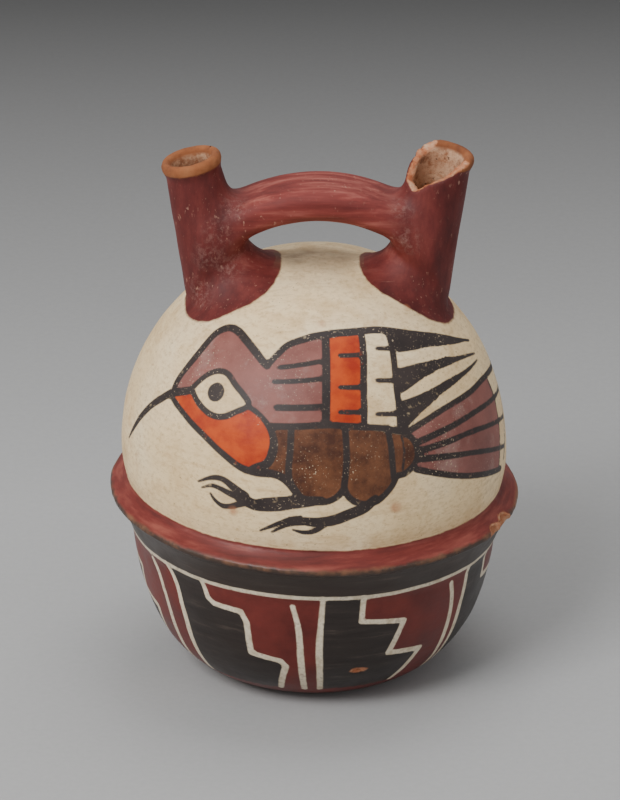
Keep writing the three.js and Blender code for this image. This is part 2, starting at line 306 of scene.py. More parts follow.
BODY_OUTSIDE = revolved(outside_profile())
BODY_INSIDE = revolved(inside_profile())
TUBES = [(spout, revolved(tube_profile(spout)), revolved(bore_profile(spout))) for spout in (WHOLE, BROKEN)]


# The clay

def smooth_step(value, low, high):
    share = np.clip((value - low) / (high - low), 0, 1)
    return share * share * (3 - 2 * share)


def undipped(points):
    """The points as they would be if the ledge were level."""
    below = smooth_step(points[:, 2], 0, LEDGE_HEIGHT)
    above = 1 - smooth_step(points[:, 2], LEDGE_HEIGHT, (LEDGE_HEIGHT + 2 * DOME_TOP) / 3)
    level = points.copy()
    level[:, 2] += math.tan(radians(LEDGE_DIP)) * points[:, 0] * np.minimum(below, above)
    return level


def spout_place(spout, points):
    """Distance from a spout's axis, height along it, and direction round it in degrees."""
    lean = radians(spout["lean"]) * spout["side"]
    offset = points - [spout["side"] * spout["spread"], 0, dome_height(spout["spread"])]
    height = offset[:, 0] * math.sin(lean) + offset[:, 2] * math.cos(lean)
    across = offset[:, 0] * math.cos(lean) - offset[:, 2] * math.sin(lean)
    return np.hypot(across, offset[:, 1]), height, np.degrees(np.arctan2(offset[:, 1], across))


def axis_end(spout):
    rise = (BRIDGE_FOOT - dome_height(spout["spread"])) * math.tan(radians(spout["lean"]))
    return spout["side"] * (spout["spread"] + rise)


def bridge(points):
    left, right = axis_end(WHOLE), axis_end(BROKEN)
    middle, half = (left + right) / 2, (right - left) / 2
    fall = (BRIDGE_TOP - BRIDGE_FOOT) / half ** 2
    away = points[:, 0] - middle
    slope = -2 * fall * away
    over = (points[:, 2] - BRIDGE_TOP + fall * away * away) / np.sqrt(1 + slope * slope)
    narrow = smooth_step(half - np.abs(away), 0, WHOLE["root"])
    half_width = BRIDGE_END_HALF_WIDTH + (BRIDGE_HALF_WIDTH - BRIDGE_END_HALF_WIDTH) * narrow
    past = np.stack([np.abs(over) - BRIDGE_HALF_THICKNESS, np.abs(points[:, 1]) - half_width], 1)
    corner = past + BRIDGE_CORNER
    section = np.linalg.norm(np.maximum(corner, 0), axis=1) + np.minimum(corner.max(1), 0) - BRIDGE_CORNER
    return np.maximum(section, np.abs(away) - half)


def body(points):
    level = undipped(points)
    return BODY_OUTSIDE(np.hypot(level[:, 0], level[:, 1]), level[:, 2])


def outer_form(points):
    """The vessel as if it were solid and whole."""
    distance = body(points)
    upper = points[:, 2] > SPOUTS_LOWEST
    some = points[upper]
    joined = distance[upper]
    strap = bridge(some)
    for spout, tube, _ in TUBES:
        radius, height, direction = spout_place(spout, some)
        inward = 0.5 - 0.5 * spout["side"] * np.cos(radians(direction))
        reach = FOOT_SOFT_OUTSIDE + (FOOT_SOFT_INSIDE - FOOT_SOFT_OUTSIDE) * inward ** 0.8
        stem = tube(radius, height)
        joined = soft_min(joined, stem, reach)
        strap = np.where(some[:, 0] * spout["side"] > 0, soft_min(strap, stem, BRIDGE_SOFT), strap)
    distance[upper] = np.minimum(joined, strap)
    return distance + rough(points, UNEVEN) * smooth_step(points[:, 2], 2, 12)


def hollow(points):
    level = undipped(points)
    distance = BODY_INSIDE(np.hypot(level[:, 0], level[:, 1]), level[:, 2])
    for spout, _, bore in TUBES:
        radius, height, _ = spout_place(spout, points)
        distance = soft_min(distance, bore(radius, height) + rough(points, BORE_UNEVEN), BORE_SOFT)
    return distance


def broken_face(points):
    """Negative where the clay above the broken spout's rough face is gone."""
    radius, height, direction = spout_place(BROKEN, points)
    round_it = (direction - BREAK_START) % 360 + BREAK_START
    depth = np.interp(round_it, *zip(*BREAK))
    tilt = BREAK_TILT * (radius - BROKEN["lip"] + SPOUT_WALL / 2)
    face = spout_length(BROKEN) - depth + rough(points, BREAK_ROUGH) + tilt
    near = (points[:, 0] > BREAK_SIDE) & (radius < SPOUT_ROOM)
    return np.where(near, 0.8 * (face - height), FAR)


def flake(points, direction, size):
    """Negative in one flake off the ledge's edge."""
    turn = radians(direction)
    outwards = np.array([math.cos(turn), math.sin(turn), 0])
    sideways = np.array([-math.sin(turn), math.cos(turn), 0])
    place = LEDGE_RADIUS * outwards + [0, 0, LEDGE_HEIGHT - FLAKE_DROP]
    place[2] -= math.tan(radians(LEDGE_DIP)) * place[0]
    offset = points - place
    shape = np.stack([offset @ outwards, offset @ sideways, offset[:, 2]], 1) / FLAKE_SHAPE
    return (np.linalg.norm(shape, axis=1) - size) * 0.75 + rough(points, FLAKE_ROUGH)


def scoops(points):
    """Negative in the flakes off the ledge and in the small chip on the bowl."""
    offset = (points - spot(CHIP)) / CHIP_SHAPE
    pit = (np.linalg.norm(offset, axis=1) - CHIP_SIZE) * 0.6 + rough(points, CHIP_ROUGH)
    return np.min([pit, *(flake(points, direction, size) for direction, size in FLAKES)], axis=0)


def clay(points):
    distance = soft_max(outer_form(points), -hollow(points), 1.3)
    distance = np.maximum(distance, -broken_face(points))
    return np.maximum(distance, -scoops(points))


PROFILE = outside_profile()


def radius_at(height):
    """Radius of the bowl or the dome at a height off the ledge."""
    low = PROFILE[PROFILE[:, 1] < LEDGE_HEIGHT - 2 * LEDGE_EDGE_RADIUS]
    high = PROFILE[np.argmax(PROFILE[:, 1] >= SEAM_HEIGHT):]
    bowl = np.interp(height, low[:, 1], low[:, 0])
    dome = np.interp(height, high[:, 1], high[:, 0])
    return np.where(np.asarray(height) < LEDGE_HEIGHT, bowl, dome)


# The mesh

def grid_values(low, counts):
    axes = [low[i] + CELL * np.arange(counts[i]) for i in range(3)]
    values = np.empty(counts)
    for i, across in enumerate(axes[0]):
        rest = np.stack(np.meshgrid(axes[1], axes[2], indexing="ij"), -1).reshape(-1, 2)
        points = np.column_stack([np.full(len(rest), across), rest])
        values[i] = clay(points).reshape(counts[1:])
    return values


def surface_net(values, low):
    """Corners and four-sided faces of the surface where the values change sign."""
    cells, places, rings = [], [], []
    for axis in range(3):
        u, v = (axis + 1) % 3, (axis + 2) % 3
        before = np.moveaxis(values, axis, 0)[:-1]
        after = np.moveaxis(values, axis, 0)[1:]
        where = np.argwhere(np.moveaxis((before < 0) != (after < 0), 0, axis))
        ahead = where + np.eye(3, dtype=int)[axis]
        start, end = values[tuple(where.T)], values[tuple(ahead.T)]
        place = where.astype(float)
        place[:, axis] += start / (start - end)
        ring = []
        for du, dv in ((0, 0), (1, 0), (1, 1), (0, 1)):
            cell = where.copy()
            cell[:, u] -= du
            cell[:, v] -= dv
            ring.append(np.ravel_multi_index(cell.T, values.shape))
        ring = np.stack(ring, 1)
        cells.append(ring.ravel())
        places.append(np.repeat(place, 4, axis=0))
        ring[start > 0] = ring[start > 0][:, ::-1]
        rings.append(ring)
    names, index = np.unique(np.concatenate(cells), return_inverse=True)
    places = np.concatenate(places)
    total = np.stack([np.bincount(index, places[:, i], len(names)) for i in range(3)], 1)
    corners = total / np.bincount(index, minlength=len(names))[:, None]
    faces = np.searchsorted(names, np.concatenate(rings))
    return np.array(low) + CELL * corners, faces


def onto_surface(points, rounds):
    """The points moved along the slope onto the surface, by half a cell at most in each round."""
    step = 0.15
    least_slope = 0.3
    for _ in range(rounds):
        here = clay(points)
        slope = np.stack([clay(points + step * way) - here for way in np.eye(3)], 1) / step
        size = np.maximum((slope * slope).sum(1), least_slope)
        move = -(here / size)[:, None] * slope
        limit = np.maximum(np.linalg.norm(move, axis=1, keepdims=True) / (0.5 * CELL), 1)
        points = points + move / limit
    return points


def read_points(mesh):
    flat = np.empty(len(mesh.vertices) * 3)
    mesh.vertices.foreach_get("co", flat)
    return flat.reshape(-1, 3) * 1000


def write_points(mesh, points):
    mesh.vertices.foreach_set("co", (points / 1000).ravel())
    mesh.update()


def in_box(points):
    """The points kept inside the solid's own box."""
    low, high = (np.array(corner) * 1000 for corner in cad_box)
    return np.clip(points, low, high)


def thin_out_inside(piece, hidden):
    """Fewer, larger faces on the inside of the body, where nothing is seen."""
    group = piece.vertex_groups.new(name="hidden")
    group.add(np.flatnonzero(hidden).tolist(), 1.0, "REPLACE")
    thin = piece.modifiers.new("thin", "DECIMATE")
    thin.ratio = 1 - (1 - HIDDEN_SHARE) * hidden.mean()
    thin.vertex_group = group.name
    thin.use_symmetry = False
    result = bpy.data.meshes.new_from_object(piece.evaluated_get(bpy.context.evaluated_depsgraph_get()))
    piece.modifiers.clear()
    piece.vertex_groups.clear()
    piece.data = result


def refine_thin_strokes(mesh):
    """Smaller faces where the painted claws and beaks are thinner than a face."""
    points = read_points(mesh)
    near = np.zeros(len(points), bool)
    for degrees, width in FIGURES:
        own = squeezed(turned(points, degrees), width)
        for path in THIN_STROKES:
            near |= stroke(own, rounded(path), [THIN_REACH]) > 0
    bare = bmesh.new()
    bare.from_mesh(mesh)
    bare.verts.ensure_lookup_table()
    edges = [edge for edge in bare.edges if near[edge.verts[0].index] and near[edge.verts[1].index]]
    bmesh.ops.subdivide_edges(bare, edges=edges, cuts=1, use_grid_fill=True)
    bare.to_mesh(mesh)
    bare.free()


def make_vessel():
    corners, faces = surface_net(grid_values(GRID_LOW, GRID_COUNTS), GRID_LOW)
    corners = onto_surface(corners, 2)
    mesh = bpy.data.meshes.new("vessel_clay")
    mesh.from_pydata((corners / 1000).tolist(), [], faces.tolist())
    piece = bpy.data.objects.new("vessel_clay", mesh)
    bpy.context.scene.collection.objects.link(piece)
    bpy.context.view_layer.update()
    level = undipped(corners)
    behind = BODY_INSIDE(np.hypot(level[:, 0], level[:, 1]), level[:, 2]) < HIDDEN_SKIN
    thin_out_inside(piece, behind & (corners[:, 2] < HIDDEN_TOP))
    refine_thin_strokes(piece.data)
    points = in_box(onto_surface(read_points(piece.data), 1))
    write_points(piece.data, points)
    piece.data.polygons.foreach_set("use_smooth", np.ones(len(piece.data.polygons), bool))
    return piece, points


# Painted figures, as (direction, height) points on the dome

CREST = [
    (-55, 99), (-54.5, 103), (-52, 109), (-50, 114.5), (-47.5, 116.6), (-43, 117.6), (-37, 117.2), (-28, 115),
    (-19, 111.6),
]
WING_TOP = [
    (-19, 111.6), (-16, 114.2), (-12, 116.6), (-5, 118), (3, 118.8), (16, 119), (34, 118.2), (50, 115.3),
    (63, 112.2), (79.5, 106),
]
EYE = [(-47, 101.8), (-43, 106), (-39, 107.9), (-34.5, 108.1), (-30, 106.2), (-22.8, 102.1), (-27, 99.3),
       (-31, 97.4), (-36, 97.1), (-42, 99)]
PUPIL = (-36.3, 103)
PUPIL_RADIUS = 2.9
THROAT = [
    (-54, 98.2), (-47, 100.8), (-41, 97.6), (-35, 96.8), (-30, 97.2), (-24, 101.8), (-19, 100), (-14.2, 96.6),
    (-12.8, 92), (-13.6, 87.6), (-17, 84.4), (-24, 85.2), (-30.5, 88), (-39, 92), (-47.5, 95),
]
THROAT_SIDE = [(-23, 101.4), (-19, 100), (-15, 97.2), (-13, 94), (-12.8, 90.4), (-14.4, 86.8), (-18, 85)]
BELLY = [
    (-54.5, 97.5), (-46, 94.6), (-36, 90.8), (-27, 86.6), (-22, 84.5), (-17, 83.9), (-12, 84), (-8, 82.2),
    (-5, 78.6),
]
UNDER_WING = [(-14, 97.1), (-4, 97.6), (5.2, 97.9), (15.3, 96.8), (22, 95.7), (30, 93.4)]
BAR_ONE = [(5.6, 118.6), (4.5, 108), (3.8, 98.2)]
BAR_TWO = [(23.6, 118.4), (18.7, 108), (16.4, 97.3)]
BAR_THREE = [(37.2, 117.4), (31.4, 107), (28.4, 95.1)]
TAIL_TOP = [(30, 93.2), (38, 94.8), (48, 96.1), (64, 96.3), (77, 95.9), (95, 93)]
TAIL_BOTTOM = [(32, 82.2), (40, 78.9), (50, 75), (62, 71.1), (75, 67.3)]
TAIL_END = [(77.6, 95.8), (78.6, 89), (77.6, 83), (76, 77.5), (74.4, 73.5), (72.5, 68.6)]
TAIL_OUTLINE = [(93, 97), (91, 88), (86, 78), (79, 68.5)]
FANS = [
    [(34, 89.8), (44, 90.5), (60, 90.7), (75, 89.2), (92, 86.5)],
    [(34, 87.3), (45, 87), (60, 85.8), (86, 79.6)],
    [(34, 84.9), (44, 83), (58, 79.6), (81, 72)],
]
PLUM_HEAD = [
    *CREST, (-16, 114.2), (-12, 116.6), (-5, 118), *BAR_ONE, (-14, 96.9),
    (-17.6, 96), (-23, 99), (-40, 100), (-51.6, 98.4),
]
PLUM_TAIL = [
    (30, 93.2), (38, 94.8), (48, 96.1), (64, 96.3), *TAIL_END, (62, 71.1), (50, 75), (40, 78.9), (32, 82.2),
    (32.5, 88),
]
BROWN_BODY = [
    (-13.6, 97), (-13.6, 91), (-15, 84), (-8, 82.4), (-5, 78.6), (-2, 76.6), (2, 75.9), (6, 77),
    (8.8, 79), (11, 76.2), (15, 74.6), (19, 75.2), (23, 78.4), (25.4, 81.4), (29, 82), (32.4, 84.6),
    (33.2, 88), (31.6, 92), (15.3, 96.8), (5.2, 97.9),
]
LOBES = [
    [(-7.4, 97.2), (-7.4, 91), (-7.6, 84), (-5.4, 79), (-2, 76.8), (2, 76), (6, 77), (9, 79.8)],
    [(10, 97.2), (10, 90), (9.4, 84), (9, 79.8), (11, 76.4), (15, 74.6), (19, 75.2), (23, 78.4), (25, 81.2)],
    [(24, 95.6), (24.3, 90), (24.2, 85), (24.2, 81)],
    [(24.4, 81.6), (28.5, 82), (32, 84.4), (33.2, 87.6), (32.2, 91), (29, 93.8)],
]
LOBE_FOLD = [(28.4, 92.4), (28.6, 88.3), (27.4, 83.4)]
NECK_TICKS = [[(-14, 111.6), (3, 113.4)], [(-15, 108.2), (3, 109.4)], [(-13, 102), (3, 102.6)]]
NECK_TICKS_THICK = [[0.75, 0.8], [0.75, 0.8], [1.0]]
BAND_TICKS = [
    [(11.2, 114.4), (21.4, 114)], [(9.5, 107.2), (18.6, 106.6)], [(8.8, 101.1), (17, 100.5)],
    [(28.2, 114.7), (35, 114)], [(23.9, 107.7), (32, 106.8)], [(21.3, 99.5), (29.4, 98.6)],
]
WEDGES = [
    [(34, 118.6), (50, 115.8), (63, 112.6), (80, 105.9), (66, 108.9), (54, 111.3), (36.5, 112.8)],
    [
        (33, 109.5), (45, 109), (59, 107.4), (77.5, 102.7), (64, 104.8), (51.6, 105.7), (42, 105.2),
        (31, 103.2),
    ],
    [
        (30.6, 101.6), (39.6, 101.9), (53.2, 102.6), (76.4, 100.9), (63.4, 100.9), (49, 100),
        (37.7, 97.3), (28.6, 93.6),
    ],
]
WEDGE_TIPS = [
    [(66, 110.6), (73, 108.4), (80.5, 105.8)], [(60, 106), (69, 104.6), (78, 102.6)],
    [(58, 101.6), (68, 101.3), (77, 101)],
]
BEAK = [(-46.7, 101.4), (-51, 99.8), (-55.2, 98.2), (-59, 95.5), (-63.2, 92), (-67.2, 87.6), (-70.4, 83.2),
        (-73.8, 77.8)]
# Half widths along the beak, and each leg's or claw's path with its half widths
BEAK_THICK = [1.25, 1.3, 1.4, 1.3, 1.2, 1.1, 0.9, 0.45]
LEGS = [
    ([(2, 76.6), (-5, 76), (-10, 75.2), (-14, 74.6), (-17.5, 74.2), (-20, 75), (-22.5, 76)],
     [1.3, 2.0, 2.3, 2.2, 1.8, 1.8, 1.7]),
    ([(-20.5, 76.4), (-24.5, 78.5), (-28.1, 80.2), (-31.9, 79.8), (-36.3, 77.6)],
     [1.5, 1.2, 0.95, 0.75, 0.35]),
    ([(-20.5, 75.6), (-25.1, 76.3), (-28.6, 77.3), (-31.5, 77.5), (-34.9, 76.1)],
     [1.4, 1.0, 0.8, 0.65, 0.35]),
    ([(-20.5, 74.6), (-22.6, 73.5), (-25, 72.5), (-27.6, 72.2), (-30.1, 73.3), (-31.8, 75.1)],
     [1.3, 1.1, 0.95, 0.85, 0.65, 0.35]),
    ([(18, 75.8), (15, 73.6), (10, 71.8), (6, 70.4), (1, 69.8), (-4, 70.3), (-7, 70.6)],
     [1.4, 1.7, 1.8, 1.7, 1.6, 1.3, 0.9]),
    ([(-4, 71), (-7, 70.5), (-10.5, 69), (-15.8, 66.2)], [1.0, 0.85, 0.75, 0.35]),
    ([(-2, 69.8), (-6, 69.2), (-9, 68.2), (-12.4, 66)], [1.0, 0.8, 0.7, 0.35]),
    ([(3, 69), (0, 67), (-3, 66.5), (-6.2, 67.2)], [1.0, 0.9, 0.75, 0.35]),
]
THIN_STROKES = [BEAK[3:], *WEDGE_TIPS, *(path for path, thick in LEGS if max(thick) < 1.6)]
# Where the figures stand and how wide they are: on the front, and narrower on the back
FIGURES = [(0, 1.0), (171.5, 0.82)]
# Part of the dome that a figure takes up
FIGURE_REACH = 110
FIGURE_LOW = 60
FIGURE_HIGH = 124

# Bowl pattern: points from the start of a repeat, and the repeats' starts
STEPS_LEFT = [(15.3, 44), (17.2, 38.2), (19.3, 36.8), (28.9, 36.3), (30.6, 32.7), (30.8, 21.7), (41, 20),
              (42.6, 18), (38.7, 7)]
STEPS_RIGHT = [(12.6, 44), (12.3, 35), (27.1, 32.9), (23.1, 21.4), (36.4, 19.9), (30.2, 7)]
STEPS_BACK = [(12.6, 44), (12.3, 35), (27.1, 33.5), (24, 25), (36.7, 24), (35, 18), (31, 7)]
FULL_LINE = [(0, 44), (-0.6, 35), (-1.1, 25.5), (-0.4, 7)]
FULL_BENT = [(0, 44), (3.9, 38), (5.1, 31.4), (5.6, 25.5), (4.9, 17.4), (4.5, 7)]
FREE_LINE = [(45.8, 40.6), (47.6, 32), (48, 20), (48.6, 7)]
FREE_BACK = [(40.5, 40.6), (42, 32), (42.3, 20), (42.6, 7)]
FREE_BENT = [(41.3, 41.7), (44.8, 37.2), (46.8, 29.5), (46.8, 22.8), (45.7, 15.3), (44.4, 7)]
REPEATS = [
    (-52.5, STEPS_LEFT, FULL_BENT, FREE_LINE), (2.8, STEPS_RIGHT, FULL_LINE, FREE_LINE),
    (56.8, STEPS_RIGHT, FULL_LINE, FREE_BACK), (107.3, STEPS_BACK, FULL_LINE, FREE_BACK),
    (157.4, STEPS_BACK, FULL_LINE, FREE_BACK), (207.4, STEPS_BACK, FULL_LINE, FREE_BACK),
    (257.4, STEPS_BACK, FULL_LINE, FREE_BENT),
]
BOWL_LINE_THICK = [0.82, 0.88, 1.05, 0.88]
BOWL_LINE_HEIGHT = 43.9
RING_HALF_WIDTH = 0.7
REPEAT_MIDDLE = 25.0
REPEAT_REACH = 60
PATTERN_TOP = 52
SEAM_PAINT = 60.1
BAND_TOP = LEDGE_HEIGHT + 0.9
EDGE_WEAR = 0.9

# Slip at the spouts' feet on the dome: middle, radii, and depth at the middle
SLIP_FEET = [((-24, -1), (14.4, 19.5), 16), ((27.5, 0), (14.2, 16.4), 15)]
FOOT_POWER = 2.4
SLIP_LIFT = 2.6
SLIP_LOWEST = 100
# The bridge's stretch where the slip was brushed along
STRAP_HALF_LENGTH = 22
STRAP_LOW = 130
# Places where the slip is rubbed off, at the ends of the bridge and at the foot of the whole spout
SCUFFS = [
    (25, -6, 146), (27, -9, 139), (-23, -6, 147), (-28, -9, 141), (-31, -9, 134), (-25, -9, 130),
    (-34, -10, 122),
]
SCUFF_SIZE = 6
# Small stains on the dome, as (direction, height) and radius
STAINS = [((24.5, 72.8), 2.0), ((-24.2, 70.7), 1.7), ((58.7, 120), 1.3), ((4, 121), 1.5)]
# Grime and painted shade on the dome's top, under the bridge
GRIME_AND_SHADE_MIDDLE = (1, 2)
GRIME_AND_SHADE_RADII = (21, 10)
GRIME_AND_SHADE_DEPTH = 4
GRIME_AND_SHADE_SKIN = 1.5
# Bare clay starts at these depths: on the inside, and where the inside has a crust
BARE_START = 0.4
INNER_START = 1.5
RIM_SHARE = 0.86
SPOUT_REACH = 14
FRESH_THICK = 1.5


def rounded(points, pieces=5):
    """A smooth row of points through the given ones."""
    points = np.array(points, float)
    padded = np.concatenate([[2 * points[0] - points[1]], points, [2 * points[-1] - points[-2]]])
    share = np.linspace(0, 1, pieces + 1)[:-1, None]
    rows = []
    for a, b, c, d in zip(padded, padded[1:], padded[2:], padded[3:]):
        bend = (2 * a - 5 * b + 4 * c - d) * share ** 2 + (3 * b - a - 3 * c + d) * share ** 3
        rows.append((2 * b + (c - a) * share + bend) / 2)
    return np.concatenate([*rows, points[-1:]])


def straight(points, longest=4.0):
    """Points along the straight lines between the given ones."""
    points = np.array(points, float)
    rows = []
    for a, b in zip(points, points[1:]):
        count = max(1, math.ceil(np.abs(b - a).max() / longest))
        rows.append(a + (b - a) * np.linspace(0, 1, count + 1)[:-1, None])
    return np.concatenate([*rows, points[-1:]])


def on_body(path):
    """Places on the body's surface from (direction, height)."""
    turn = radians(path[:, 0])
    radius = radius_at(path[:, 1])
    return np.stack([radius * np.sin(turn), -radius * np.cos(turn), path[:, 1]], 1)


def spot(place):
    return on_body(np.array([place]))[0]


def spot_depth(points, spots):
    """How deep the points lie in round spots, each with its middle and size."""
    return np.max([size - np.linalg.norm(points - middle, axis=1) for middle, size in spots], axis=0)


def stroke(points, path, thick):
    """How deep the points lie in a brush stroke with the given half widths along its path."""
    row = on_body(path)
    thick = np.interp(np.linspace(0, 1, len(row)), np.linspace(0, 1, len(thick)), thick)
    depth = np.full(len(points), -FAR)
    for a, b, wide, next_wide in zip(row, row[1:], thick, thick[1:]):
        near = (np.abs(points - (a + b) / 2) < 10).all(1)
        offset = points[near] - a
        along = b - a
        share = np.clip(offset @ along / max(along @ along, 1e-6), 0, 1)
        gap = np.linalg.norm(offset - share[:, None] * along, axis=1)
        depth[near] = np.maximum(depth[near], wide + (next_wide - wide) * share - gap)
    return depth


def area(points, flat, path):
    """Depth inside a closed outline, negative outside."""
    path = np.concatenate([path, path[:1]])
    gap = -stroke(points, path, [0])
    odd = np.zeros(len(points), bool)
    for a, b in zip(path, path[1:]):
        crosses = (a[1] > flat[:, 1]) != (b[1] > flat[:, 1])
        if a[1] != b[1]:
            odd ^= crosses & (flat[:, 0] < a[0] + (flat[:, 1] - a[1]) / (b[1] - a[1]) * (b[0] - a[0]))
    return np.where(odd, gap, -gap)


def figure_lines():
    """Each painted line of a figure, with its half widths along the line."""
    curved = [
        (CREST, [1.0, 1.2, 1.3, 1.3, 1.2]), (WING_TOP, [1.0, 1.1, 1.4, 1.2, 0.5]),
        (BELLY, [0.9, 1.0, 1.25, 1.25]), (EYE + EYE[:1], [0.95]), (UNDER_WING, [1.0]), (BAR_ONE, [1.25]),
        (BAR_TWO, [1.05]), (BAR_THREE, [1.05]), (TAIL_TOP, [1.0, 0.9]), (TAIL_BOTTOM, [1.0, 0.9]),
        (TAIL_END, [0.45]), (TAIL_OUTLINE, [0.5]), (THROAT_SIDE, [0.8, 0.9, 1.4, 1.4]), (BEAK, BEAK_THICK),
        (LOBE_FOLD, [0.4]), *LEGS,
    ]
    curved += [(fan, [1.1, 0.9, 0.7]) for fan in FANS]
    curved += [(lobe, [1.0]) for lobe in LOBES]
    curved += [(tip, [0.9, 0.65, 0.3]) for tip in WEDGE_TIPS]
    ticks = [*zip(NECK_TICKS, NECK_TICKS_THICK), *((tick, [0.7, 0.85]) for tick in BAND_TICKS)]
    lines = [(rounded(path), thick) for path, thick in curved]
    return lines + [(straight(path), thick) for path, thick in ticks]


def figure_layers(points, flat):
    def filled(*paths):
        return np.max([area(points, flat, path) for path in paths], axis=0)

    strokes = [stroke(points, path, thick) for path, thick in figure_lines()]
    pupil = spot_depth(points, [(spot(PUPIL), PUPIL_RADIUS)])
    orange_bar = np.concatenate([rounded(BAR_ONE), rounded(BAR_TWO)[::-1]])
    return {
        "ink": np.max([*strokes, pupil, filled(*map(straight, WEDGES))], axis=0),
        "plum": filled(straight(PLUM_HEAD), straight(PLUM_TAIL)),
        "orange": filled(straight(THROAT), orange_bar),
        "brown": filled(straight(BROWN_BODY)),
        "over": filled(rounded(EYE)),
    }


def turned(points, degrees):
    turn = radians(degrees)
    x, y, z = points.T
    return np.stack([x * math.cos(turn) + y * math.sin(turn), y * math.cos(turn) - x * math.sin(turn), z], 1)


def flat_place(points):
    return np.stack([np.degrees(np.arctan2(points[:, 0], -points[:, 1])), points[:, 2]], 1)


def squeezed(points, width):
    """The points as they would be if a figure of this width were drawn at full width."""
    turn = radians(flat_place(points)[:, 0] / width)
    radius = np.hypot(points[:, 0], points[:, 1])
    return np.stack([radius * np.sin(turn), -radius * np.cos(turn), points[:, 2]], 1)


def paint_figures(points, layers):
    """The bird on the front, and the same bird on the back."""
    for degrees, width in FIGURES:
        own = squeezed(turned(points, degrees), width)
        flat = flat_place(own)
        near = (np.abs(flat[:, 0]) < FIGURE_REACH) & (flat[:, 1] > FIGURE_LOW) & (flat[:, 1] < FIGURE_HIGH)
        for name, depth in figure_layers(own[near], flat[near]).items():
            layers[name][near] = np.maximum(layers[name][near], depth)


def paint_bowl(level, layers):
    """The stepped pattern: each repeat has a black area between two lines, and a free line."""
    shift = np.array([-REPEAT_MIDDLE, 0])
    for start, steps, full, free in REPEATS:
        own = turned(level, start + REPEAT_MIDDLE)
        flat = flat_place(own)
        near = (np.abs(flat[:, 0]) < REPEAT_REACH) & (flat[:, 1] < PATTERN_TOP)
        some, place = own[near], flat[near]
        step_line = straight(np.array(steps) + shift)
        full_line = rounded(np.array(full) + shift)
        free_line = rounded(np.array(free) + shift)
        lines = [stroke(some, path, BOWL_LINE_THICK) for path in (step_line, full_line, free_line)]
        black = area(some, place, np.concatenate([step_line, full_line[::-1]]))
        layers["bowl_line"][near] = np.max([layers["bowl_line"][near], *lines], axis=0)
        layers["bowl_black"][near] = np.maximum(layers["bowl_black"][near], black)
    ring = RING_HALF_WIDTH - np.abs(level[:, 2] - BOWL_LINE_HEIGHT)
    layers["bowl_line"] = np.maximum(layers["bowl_line"], ring)


def squared(points, middle, radii):
    """1 on a slightly squared ring round a middle, seen from above, and less inside it."""
    across = np.abs((points[:, :2] - middle) / radii)
    return (across ** FOOT_POWER).sum(1) ** (1 / FOOT_POWER)


def slip_depth(level, above_dome):
    """Depth inside the slip of the spouts and the bridge, and of its feet on the dome."""
    feet = [scale * (1 - squared(level, middle, radii)) for middle, radii, scale in SLIP_FEET]
    depth = np.max([*feet, (above_dome - SLIP_LIFT) * 2], axis=0)
    return np.where(level[:, 2] > SLIP_LOWEST, depth, -FAR)


def bare_depth(points, flakes):
    """Depth inside bare clay: the inside, the flakes and the spouts' rims."""
    beside_flakes = np.where(np.abs(flakes) > 1, -FAR, 0.5 - np.abs(flakes))
    depth = np.maximum(-outer_form(points) - BARE_START, beside_flakes)
    for spout, _, _ in TUBES:
        radius, up, _ = spout_place(spout, points)
        rim = up - spout_length(spout) + RIM_SHARE * LIP_LENGTH
        depth = np.maximum(depth, np.where(radius < SPOUT_REACH, rim, -FAR))
    return depth


def fresh_depth(points, flakes):
    """Depth inside the fresh clay on the broken spout's face and in the flakes."""
    depth = np.maximum(0.3 - broken_face(points), 0.5 - flakes)
    return np.where(depth > FRESH_THICK, -FAR, depth)


# Depth inside the grime and painted shade on the dome's top, under the bridge
def grime_and_shade_depth(points, above_dome):
    away = np.linalg.norm((points[:, :2] - GRIME_AND_SHADE_MIDDLE) / GRIME_AND_SHADE_RADII, axis=1)
    return np.where(above_dome < GRIME_AND_SHADE_SKIN, GRIME_AND_SHADE_DEPTH * (1 - away), -FAR)


def paint(points):
    """Signed depths in millimetres, one row for each painted or worn layer."""
    level = undipped(points)
    distance = np.hypot(level[:, 0], level[:, 1])
    height = level[:, 2]
    names = ("ink", "plum", "orange", "brown", "over", "bowl_line", "bowl_black")
    layers = {name: np.full(len(points), -FAR) for name in names}
    paint_figures(points, layers)
    paint_bowl(level, layers)
    above_dome = body(points)
    flakes = scoops(points)
    layers["slip"] = slip_depth(level, above_dome)
    layers["below"] = SEAM_PAINT - height
    layers["band"] = BAND_TOP - height
    layers["bowl"] = BOWL_LINE_HEIGHT - height
    layers["edge"] = EDGE_WEAR - np.hypot(distance - LEDGE_RADIUS - 0.1, height - LEDGE_HEIGHT - 0.5)
    layers["bare"] = bare_depth(points, flakes)
    layers["fresh"] = fresh_depth(points, flakes)
    # grime and painted shade on the dome's top, under the bridge
    layers["grime_and_shade"] = grime_and_shade_depth(points, above_dome)
    layers["stain"] = spot_depth(level, [(spot(place), size) for place, size in STAINS])
    layers["strap"] = np.minimum(STRAP_HALF_LENGTH - np.abs(points[:, 0] - 1), points[:, 2] - STRAP_LOW)
    layers["scuff"] = spot_depth(points, [(place, SCUFF_SIZE) for place in SCUFFS])
    layers["inner"] = -outer_form(points) - INNER_START
    return layers


def add_layers(mesh, layers):
    for name, depth in layers.items():
        layer = mesh.attributes.new(name, "FLOAT", "POINT")
        layer.data.foreach_set("value", np.clip(depth, -FAR, FAR).astype(np.float32))


# Materials

